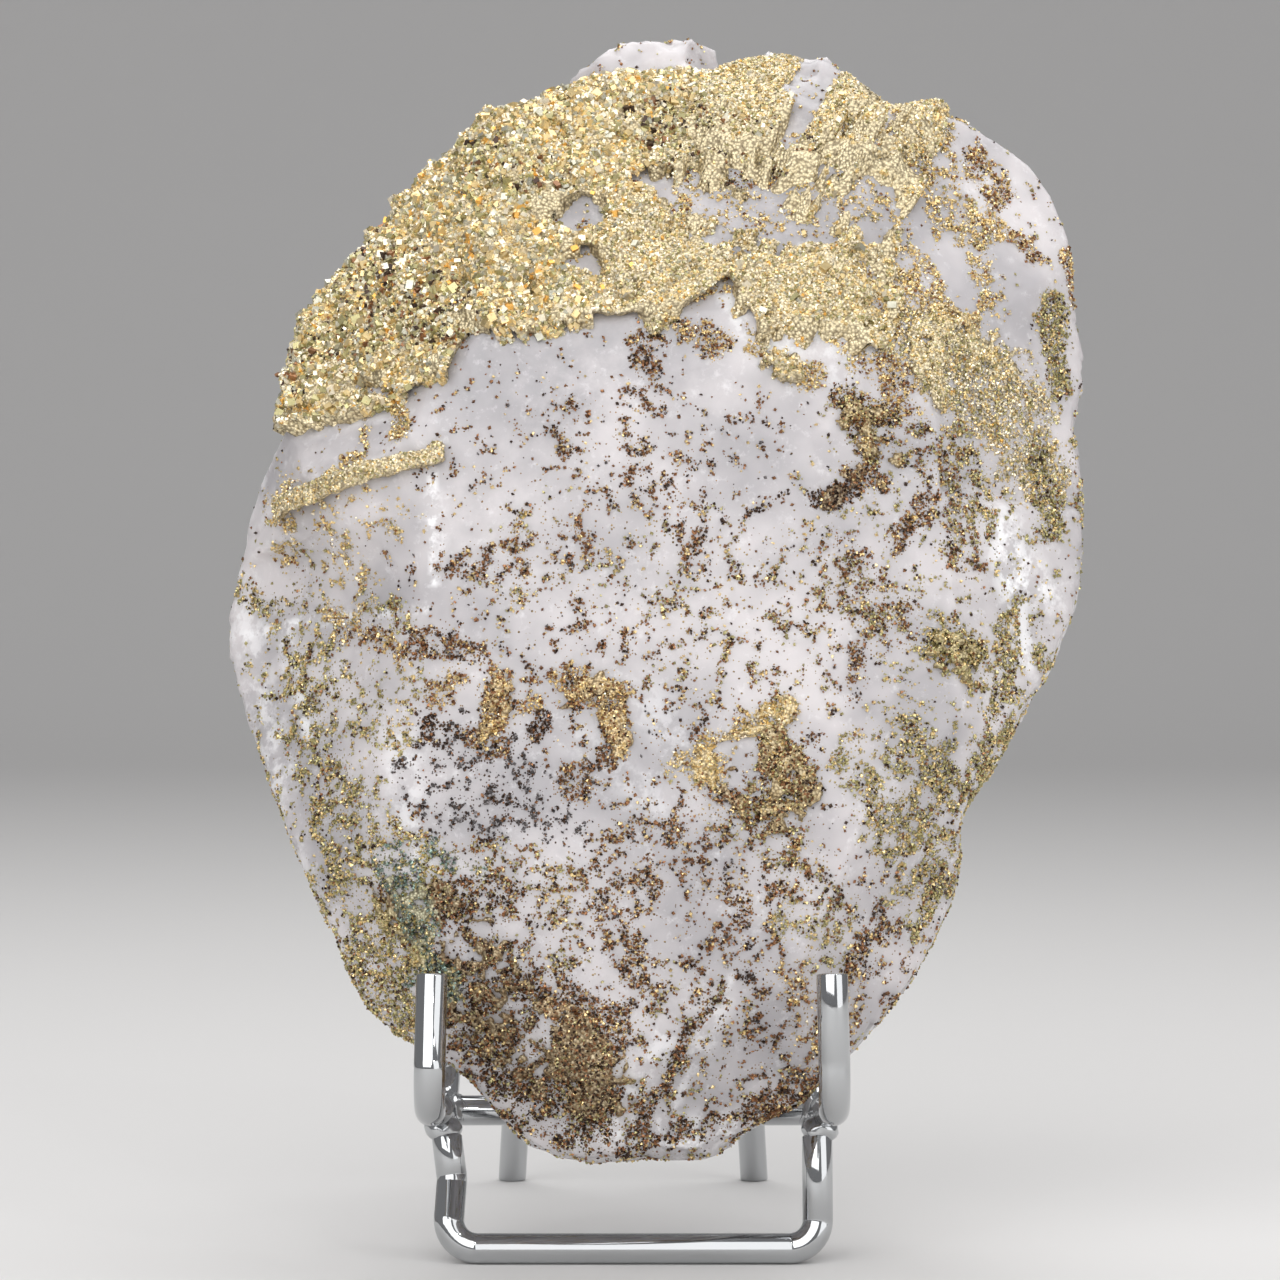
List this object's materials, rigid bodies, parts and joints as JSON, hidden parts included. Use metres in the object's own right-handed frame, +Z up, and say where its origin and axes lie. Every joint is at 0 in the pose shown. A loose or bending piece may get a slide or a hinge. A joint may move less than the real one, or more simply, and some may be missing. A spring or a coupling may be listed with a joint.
{
  "type": "pyrite on calcite mineral specimen on a wire display stand",
  "caption": "Milky calcite crystal with a thick crust, patches and grains of golden pyrite, leaning upright in a small chromed wire stand.",
  "frame": {"origin": "on the table, below the middle of the object's box", "axes": "+Z up, -Y towards the side that the stone's broad face looks to, +X to the right as seen from there"},
  "size_m": [0.091, 0.0822, 0.1284],
  "materials": {
    "calcite": "satin",
    "pyrite": "satin",
    "chromed_wire": "polished"
  },
  "bodies": {
    "root": {"calcite": "calcite", "pyrite_crust": "pyrite", "pyrite_ridge": "pyrite", "pyrite_patch_centre": "pyrite", "pyrite_patch_arch": "pyrite", "pyrite_patch_foot": "pyrite", "pyrite_patch_left": "pyrite", "pyrite_patch_right": "pyrite", "pyrite_patch_side": "pyrite", "pyrite_band": "pyrite", "cradle_wire": "chromed_wire", "cross_bar": "chromed_wire", "base_loop": "chromed_wire", "rear_leg": "chromed_wire"}
  },
  "joints": []
}
